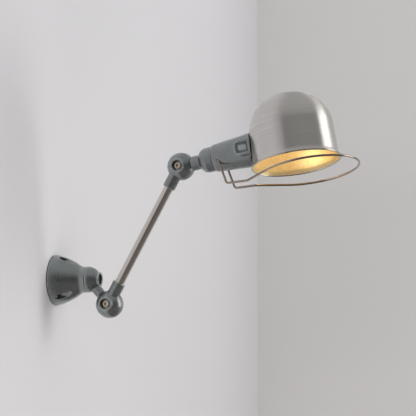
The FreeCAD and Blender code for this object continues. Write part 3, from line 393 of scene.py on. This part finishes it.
def spun_sheet():
    """A node tree that spins a profile, points at (radius, 0, height) joined in order, about Z.
    It keeps the turning angle and the length along the profile as the UV map "spin", and the
    outside's and the lining's finishes start from given lengths."""
    tree = bpy.data.node_groups.new("spun_sheet", "GeometryNodeTree")
    tree.interface.new_socket("Profile", in_out="INPUT", socket_type="NodeSocketGeometry")
    for name, kind in (("Steps", "Int"), ("Outside From", "Float"), ("Lining From", "Float"),
                       ("Rim Finish", "Material"), ("Outside Finish", "Material"),
                       ("Lining Finish", "Material")):
        tree.interface.new_socket(name, in_out="INPUT", socket_type="NodeSocket" + kind)
    tree.interface.new_socket("Sheet", in_out="OUTPUT", socket_type="NodeSocketGeometry")
    given = tree.nodes.new("NodeGroupInput").outputs
    rows = add(tree, "GeometryNodeAttributeDomainSize",
               {"Geometry": given["Profile"]}).outputs["Point Count"]
    columns = add(tree, "ShaderNodeMath", {0: given["Steps"], 1: 1.0})
    grid = add(tree, "GeometryNodeMeshGrid", {"Vertices X": columns.outputs[0],
                                              "Vertices Y": rows})
    # the grid numbers its points up each column, so the remainder is the row
    number = add(tree, "GeometryNodeInputIndex").outputs[0]
    row = add(tree, "ShaderNodeMath", {0: number, 1: rows}, operation="MODULO").outputs[0]
    column = add(tree, "ShaderNodeMath", {
        0: add(tree, "ShaderNodeMath", {0: number, 1: rows}, operation="DIVIDE").outputs[0]},
        operation="FLOOR").outputs[0]
    turned = add(tree, "ShaderNodeMath", {0: column, 1: given["Steps"]},
                 operation="DIVIDE").outputs[0]
    angle = add(tree, "ShaderNodeMath", {0: turned, 1: 2 * math.pi}, operation="MULTIPLY")
    spot = add(tree, "GeometryNodeSampleIndex", {
        "Geometry": given["Profile"], "Index": row,
        "Value": add(tree, "GeometryNodeInputPosition").outputs[0]}, data_type="FLOAT_VECTOR")
    swung = add(tree, "ShaderNodeVectorRotate", {"Vector": spot.outputs[0],
                                                 "Angle": angle.outputs[0]},
                rotation_type="Z_AXIS")
    wrapped = add(tree, "GeometryNodeSetPosition", {"Geometry": grid.outputs["Mesh"],
                                                    "Position": swung.outputs[0]})
    length = add(tree, "GeometryNodeInputNamedAttribute", {"Name": "length"})
    run = add(tree, "GeometryNodeSampleIndex", {"Geometry": given["Profile"], "Index": row,
                                                "Value": length.outputs["Attribute"]})
    flat = add(tree, "GeometryNodeFieldOnDomain", {
        "Value": add(tree, "ShaderNodeCombineXYZ", {"X": turned,
                                                    "Y": run.outputs[0]}).outputs[0]},
        data_type="FLOAT_VECTOR", domain="POINT")
    mapped = add(tree, "GeometryNodeStoreNamedAttribute", {
        "Geometry": wrapped.outputs[0], "Name": "spin", "Value": flat.outputs[0]},
        data_type="FLOAT2", domain="CORNER").outputs[0]
    smooth = add(tree, "GeometryNodeSetShadeSmooth", {"Geometry": mapped})
    # this closes the seam, where the last column meets the first, and the crown
    joined = add(tree, "GeometryNodeMergeByDistance", {"Geometry": smooth.outputs[0],
                                                       "Distance": 1e-7})
    whole = add(tree, "GeometryNodeRealizeInstances", {"Geometry": joined.outputs[0]})
    finished = add(tree, "GeometryNodeSetMaterial", {"Geometry": whole.outputs[0],
                                                     "Material": given["Rim Finish"]})
    # on a face, the map is the mean of its corners, so its length is that of the face's middle
    spin = add(tree, "GeometryNodeInputNamedAttribute", {"Name": "spin"},
               data_type="FLOAT_VECTOR")
    middle = add(tree, "ShaderNodeSeparateXYZ", {"Vector": spin.outputs["Attribute"]})
    for start, finish in (("Outside From", "Outside Finish"), ("Lining From", "Lining Finish")):
        beyond = add(tree, "FunctionNodeCompare", {"A": middle.outputs["Y"], "B": given[start]},
                     operation="GREATER_THAN")
        finished = add(tree, "GeometryNodeSetMaterial", {
            "Geometry": finished.outputs[0], "Selection": beyond.outputs[0],
            "Material": given[finish]})
    sheet = tree.nodes.new("NodeGroupOutput")
    tree.links.new(finished.outputs[0], sheet.inputs["Sheet"])
    return tree


def lengths(profile):
    """The length run along a profile at each of its points."""
    run = [0]
    for (r0, z0), (r1, z1) in zip(profile, profile[1:]):
        run.append(run[-1] + math.hypot(r1 - r0, z1 - z0))
    return run


def turn(name, profile, steps, place, **choices):
    """Spin a profile of (radius, height) points and set it in place. The choices are more
    inputs of the node tree, with underscores for spaces."""
    mesh = bpy.data.meshes.new(name)
    mesh.from_pydata([(radius, 0, height) for radius, height in profile],
                     [(i, i + 1) for i in range(len(profile) - 1)], [])
    travelled = mesh.attributes.new("length", "FLOAT", "POINT")
    travelled.data.foreach_set("value", lengths(profile))
    made = bpy.data.objects.new(name, mesh)
    bpy.context.scene.collection.objects.link(made)
    spin = made.modifiers.new("spin", "NODES")
    spin.node_group = spinner
    sockets = {socket.name: socket.identifier for socket in spinner.interface.items_tree}
    spin[sockets["Steps"]] = steps
    for choice, value in choices.items():
        spin[sockets[choice.replace("_", " ")]] = value
    graph = bpy.context.evaluated_depsgraph_get()
    turned = bpy.data.meshes.new_from_object(made.evaluated_get(graph), depsgraph=graph)
    turned.transform(place)
    # the node tree's grid starts with an empty material slot, which goes
    slots = [face.material_index - 1 for face in turned.polygons]
    turned.materials.pop(index=0)
    turned.polygons.foreach_set("material_index", slots)
    made.modifiers.clear()
    made.data = turned
    return made


spinner = spun_sheet()


def arc(centre, radius, start, end, steps):
    """Points on an arc of a circle, from one angle to another in degrees."""
    return [(centre[0] + radius * math.cos(math.radians(start + (end - start) * i / steps)),
             centre[1] + radius * math.sin(math.radians(start + (end - start) * i / steps)))
            for i in range(steps + 1)]


# the dome's outside, as radius and height over the rim: two points of the flare, the skirt, and
# the arcs of its side and its crown, tangent to each other
FLARE = [(0.0693, 0.0032), (0.0689, 0.0045)]
SKIRT_FOOT, SKIRT_TOP = (0.0684, 0.0052), (0.0665, 0.0549)
SIDE_ARC, DOME = 0.058, 0.0600
SKIRT_STEPS, SIDE_STEPS, CROWN_STEPS = 12, 24, 12
offset = SKIRT_TOP[0] - SIDE_ARC
crown_arc = (offset ** 2 + DOME ** 2 - SIDE_ARC ** 2) / (2 * (DOME - SIDE_ARC))
crown_centre = SKIRT_TOP[1] + DOME - crown_arc
join_angle = math.degrees(math.atan2(SKIRT_TOP[1] - crown_centre, offset))
skirt = [tuple(foot + (top - foot) * i / SKIRT_STEPS for foot, top in zip(SKIRT_FOOT, SKIRT_TOP))
         for i in range(SKIRT_STEPS)]
outside = FLARE + skirt \
    + arc((offset, SKIRT_TOP[1]), SIDE_ARC, 0, join_angle, SIDE_STEPS)[:-1] \
    + arc((0, crown_centre), crown_arc, join_angle, 90, CROWN_STEPS)


def inward(profile, wall):
    """A profile moved inwards by a wall's thickness, square to itself."""
    moved = []
    for i, (r, z) in enumerate(profile):
        before = profile[max(i - 1, 0)]
        after = profile[min(i + 1, len(profile) - 1)]
        run = Vector((after[0] - before[0], after[1] - before[1])).normalized()
        moved.append((max(r - run.y * wall, 0), z + run.x * wall))
    moved[-1] = (0, profile[-1][1] - wall)
    return moved


# the rolled rim: a bead 2.8 mm thick that stands out from the skirt, round a circle of its own
# radius
BEAD, BEAD_RADIUS, BEAD_STEPS = 0.0014, 0.0702, 18
SHEET = 0.001
bead = arc((BEAD_RADIUS, BEAD), BEAD, start=-175, end=115, steps=BEAD_STEPS)
shell = bead + outside + inward(outside, SHEET)[::-1] + bead[:1]


def ring_brushed():
    """Stainless steel brushed on the lathe."""
    made, tree, out = material("lathe_brushed_stainless")
    where = add(tree, "ShaderNodeUVMap", uv_map="spin").outputs["UV"]
    # scratches ring the shade, each about 0.1 mm wide, drawn 0.4 mm wide so that they show
    lines = add(tree, "ShaderNodeMapping", {"Vector": where, "Scale": (9, 2500, 1)})
    scratch = add(tree, "ShaderNodeTexNoise", {"Vector": lines.outputs["Vector"], "Scale": 1,
                                               "Detail": 4, "Roughness": 0.65})
    # wider rings of 1.5 mm or so, where the pad was pressed harder
    wide = add(tree, "ShaderNodeMapping", {"Vector": where, "Scale": (2.5, 650, 1)})
    cloud = add(tree, "ShaderNodeTexNoise", {"Vector": wide.outputs["Vector"], "Scale": 1,
                                             "Detail": 3})
    tint = add(tree, "ShaderNodeMix", {"Factor": scratch.outputs["Fac"], "A": srgb("#c9c6c2"),
                                       "B": srgb("#ebe9e6")}, data_type="RGBA")
    # most of this noise lies between 0.3 and 0.7
    rough = add(tree, "ShaderNodeMapRange", {"Value": cloud.outputs["Fac"], "From Min": 0.3,
                                             "From Max": 0.7, "To Min": 0.27, "To Max": 0.40})
    pressed = add(tree, "ShaderNodeMapRange", {"Value": cloud.outputs["Fac"], "From Min": 0.3,
                                               "From Max": 0.7})
    bump = add(tree, "ShaderNodeBump", {"Height": scratch.outputs["Fac"], "Strength": 0.1,
                                        "Distance": 0.00005})
    cast = add(tree, "ShaderNodeMix", {"Factor": pressed.outputs["Result"],
                                       "A": tint.outputs["Result"], "B": srgb("#d0cdca")},
               data_type="RGBA")
    around = add(tree, "ShaderNodeTangent", direction_type="UV_MAP", uv_map="spin")
    steel = add(tree, "ShaderNodeBsdfPrincipled", {
        "Base Color": cast.outputs["Result"], "Metallic": 1,
        "Roughness": rough.outputs["Result"], "Anisotropic": 0.88, "Anisotropic Rotation": 0.25,
        "Tangent": around.outputs["Tangent"], "Normal": bump.outputs["Normal"]})
    tree.links.new(steel.outputs[0], out.inputs["Surface"])
    return made


def reflector():
    """The inside, blasted matt and lacquered, so that it spreads the light."""
    made, tree, out = material("blasted_reflector_lining")
    where = add(tree, "ShaderNodeTexCoord").outputs["Object"]
    # blasting grain of 0.3 mm, drawn as 5 mm mottling so that it shows
    grain = add(tree, "ShaderNodeTexNoise", {"Vector": where, "Scale": 200, "Detail": 4})
    patch = add(tree, "ShaderNodeMapRange", {"Value": grain.outputs["Fac"], "From Min": 0.3,
                                             "From Max": 0.7})
    tint = add(tree, "ShaderNodeMix", {"Factor": patch.outputs["Result"], "A": srgb("#d5c296"),
                                       "B": srgb("#e2d0a7")}, data_type="RGBA")
    bump = add(tree, "ShaderNodeBump", {"Height": grain.outputs["Fac"], "Strength": 0.15,
                                        "Distance": 0.0002})
    lacquer = add(tree, "ShaderNodeBsdfPrincipled", {
        "Base Color": tint.outputs["Result"], "Roughness": 0.38, "Metallic": 0.55,
        "Normal": bump.outputs["Normal"]})
    tree.links.new(lacquer.outputs[0], out.inputs["Surface"])
    return made


burnished = plated("burnished_rim", "#bdb8b3", "#d6d2cd", rough=(0.10, 0.20), grain=0.003)
run = lengths(shell)
dome = turn("shade_dome", shell, steps=256, place=shade_place, Outside_From=run[len(bead)],
            Lining_From=run[len(bead) + len(outside) - 1], Rim_Finish=burnished,
            Outside_Finish=ring_brushed(), Lining_Finish=reflector())

# the bulb's hole, 31.6 mm across, drilled along the head's axis from behind the shade
HOLE_RADIUS, DRILL_REACH, DRILL_LENGTH = 0.0158, 0.10, 0.05
drill_profile = [(0, 0), (HOLE_RADIUS, 0), (HOLE_RADIUS, DRILL_LENGTH), (0, DRILL_LENGTH)]
drill_end = lengths(drill_profile)[-1]
drill_place = Matrix.Translation(knee + head_axis * DRILL_REACH) \
    @ Vector((0, 0, 1)).rotation_difference(head_axis).to_matrix().to_4x4()
drill = turn("lamp_hole_drill", drill_profile, steps=96, place=drill_place,
             Outside_From=drill_end, Lining_From=drill_end, Rim_Finish=burnished)
hole = dome.modifiers.new("lamp_hole", "BOOLEAN")
hole.operation = "DIFFERENCE"
hole.solver = "EXACT"
hole.object = drill
keep_mesh(dome, "head", "spun_steel", "shade")
bpy.data.objects.remove(drill)

# ---- Bulb ----
# A small candle lamp of opal glass, blown and cemented in its cap, and lit: warm white light
# comes through the glass evenly. It screws into the lampholder.


def glowing_opal():
    """Opal glass with a light behind it, a little deeper in colour at its outline."""
    made, tree, out = material("lit_opal_glass")
    edge = add(tree, "ShaderNodeLayerWeight", {"Blend": 0.35}).outputs["Facing"]
    warm = add(tree, "ShaderNodeMix", {"Factor": edge, "A": srgb("#fff0cf"),
                                       "B": srgb("#ffd48e")}, data_type="RGBA")
    glass = add(tree, "ShaderNodeBsdfPrincipled", {
        "Base Color": srgb("#f4ead6"), "Roughness": 0.15, "IOR": 1.5,
        "Emission Color": warm.outputs["Result"], "Emission Strength": 5.5})
    tree.links.new(glass.outputs[0], out.inputs["Surface"])
    return made


dress(glowing_opal(), "bulb_glass")

# ---- Guard ----
# One length of 3.6 mm polished stainless wire, bent at four corners and closed in front by most
# of a circle. Both its ends sit in bores in the housing.

WIRE_RADIUS, BEND_RADIUS = 0.0018, 0.005
# the circle's radius, and its middle as a drop below the head's axis and a reach along it
RING_RADIUS, RING_DROP, RING_REACH, RING_STEPS = 0.0785, 0.0539, 0.2089, 96
# each leg's end and bends, as drops and reaches, and how far it stands to its side
LEG, LEG_SIDE = [(0.0060, 0.0684), (0.0494, 0.0776), (0.0526, 0.1128)], 0.0196


def bent_wire():
    """A node tree that sweeps a round wire along a line of points, each corner rounded to its
    own "bend" radius."""
    tree = bpy.data.node_groups.new("bent_wire", "GeometryNodeTree")
    for name, kind in (("Path", "Geometry"), ("Radius", "Float"), ("Finish", "Material")):
        tree.interface.new_socket(name, in_out="INPUT", socket_type="NodeSocket" + kind)
    tree.interface.new_socket("Wire", in_out="OUTPUT", socket_type="NodeSocketGeometry")
    given = tree.nodes.new("NodeGroupInput").outputs
    line = add(tree, "GeometryNodeMeshToCurve", {"Mesh": given["Path"]})
    bend = add(tree, "GeometryNodeInputNamedAttribute", {"Name": "bend"})
    rounded = add(tree, "GeometryNodeFilletCurve", {
        "Curve": line.outputs[0], "Radius": bend.outputs["Attribute"], "Count": 10}, mode="POLY")
    section = add(tree, "GeometryNodeCurvePrimitiveCircle", {"Resolution": 24,
                                                             "Radius": given["Radius"]})
    swept = add(tree, "GeometryNodeCurveToMesh", {
        "Curve": rounded.outputs[0], "Profile Curve": section.outputs["Curve"],
        "Fill Caps": True})
    smooth = add(tree, "GeometryNodeSetShadeSmooth", {"Geometry": swept.outputs[0]})
    whole = add(tree, "GeometryNodeRealizeInstances", {"Geometry": smooth.outputs[0]})
    finished = add(tree, "GeometryNodeSetMaterial", {"Geometry": whole.outputs[0],
                                                     "Material": given["Finish"]})
    wire = tree.nodes.new("NodeGroupOutput")
    tree.links.new(finished.outputs[0], wire.inputs["Wire"])
    return tree


def head_point(drop, side, reach):
    """A place on the head, from its drop, side and reach off the upper knuckle."""
    return knee + head_down * drop + head_side * side + head_axis * reach


# the legs leave the ring along its tangents
back = RING_REACH - LEG[-1][1]
spread = math.acos(RING_RADIUS / math.hypot(back, LEG_SIDE)) + math.atan2(LEG_SIDE, back)
ring = [head_point(RING_DROP, RING_RADIUS * math.sin(turned),
                   RING_REACH - RING_RADIUS * math.cos(turned))
        for turned in [spread + (2 * math.pi - 2 * spread) * i / RING_STEPS
                       for i in range(RING_STEPS + 1)]]
legs = [[head_point(drop, side, reach) for drop, reach in LEG] for side in (LEG_SIDE, -LEG_SIDE)]
path_mesh = bpy.data.meshes.new("guard_path")
route = legs[0] + ring + legs[1][::-1]
path_mesh.from_pydata(route, [(i, i + 1) for i in range(len(route) - 1)], [])
bends = [0, BEND_RADIUS, BEND_RADIUS] + [0] * len(ring) + [BEND_RADIUS, BEND_RADIUS, 0]
path_mesh.attributes.new("bend", "FLOAT", "POINT").data.foreach_set("value", bends)
guard = bpy.data.objects.new("bent_guard", path_mesh)
bpy.context.scene.collection.objects.link(guard)
sweep = guard.modifiers.new("sweep", "NODES")
sweep.node_group = bent_wire()
sockets = {socket.name: socket.identifier for socket in sweep.node_group.interface.items_tree}
sweep[sockets["Radius"]] = WIRE_RADIUS
# the wire's brownish tint is a painted warm reflection of the lit lining, not the steel's own
# colour
sweep[sockets["Finish"]] = plated("stainless_wire_painted_warm_reflection", "#978a80", "#bcafa3",
                                  rough=(0.08, 0.20), grain=0.004)
keep_mesh(guard, "head", "bright_wire", "guard_wire")
